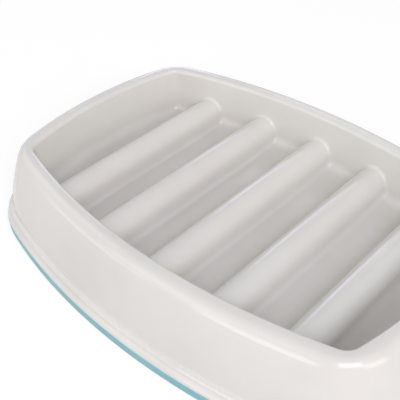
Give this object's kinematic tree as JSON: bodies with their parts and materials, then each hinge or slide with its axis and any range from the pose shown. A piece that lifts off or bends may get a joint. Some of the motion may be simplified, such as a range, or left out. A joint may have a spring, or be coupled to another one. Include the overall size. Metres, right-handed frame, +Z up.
{
  "type": "slow feeder bowl",
  "caption": "Shallow tray-shaped pet bowl with rounded cross ridges in its basin, a flared skirt and a soft non-slip ring under its foot.",
  "frame": {"origin": "centre of the ring's underside, on the surface that the bowl stands on", "axes": "+X along the bowl's length, +Y along the ridges, +Z up"},
  "size_m": [0.24, 0.17, 0.0395],
  "materials": {
    "bowl_plastic": "satin injection-moulded polypropylene, warm light grey",
    "ring_rubber": "soft matt thermoplastic elastomer, turquoise"
  },
  "bodies": {
    "root": {"bowl": "bowl_plastic", "non_slip_ring": "ring_rubber"}
  },
  "joints": []
}
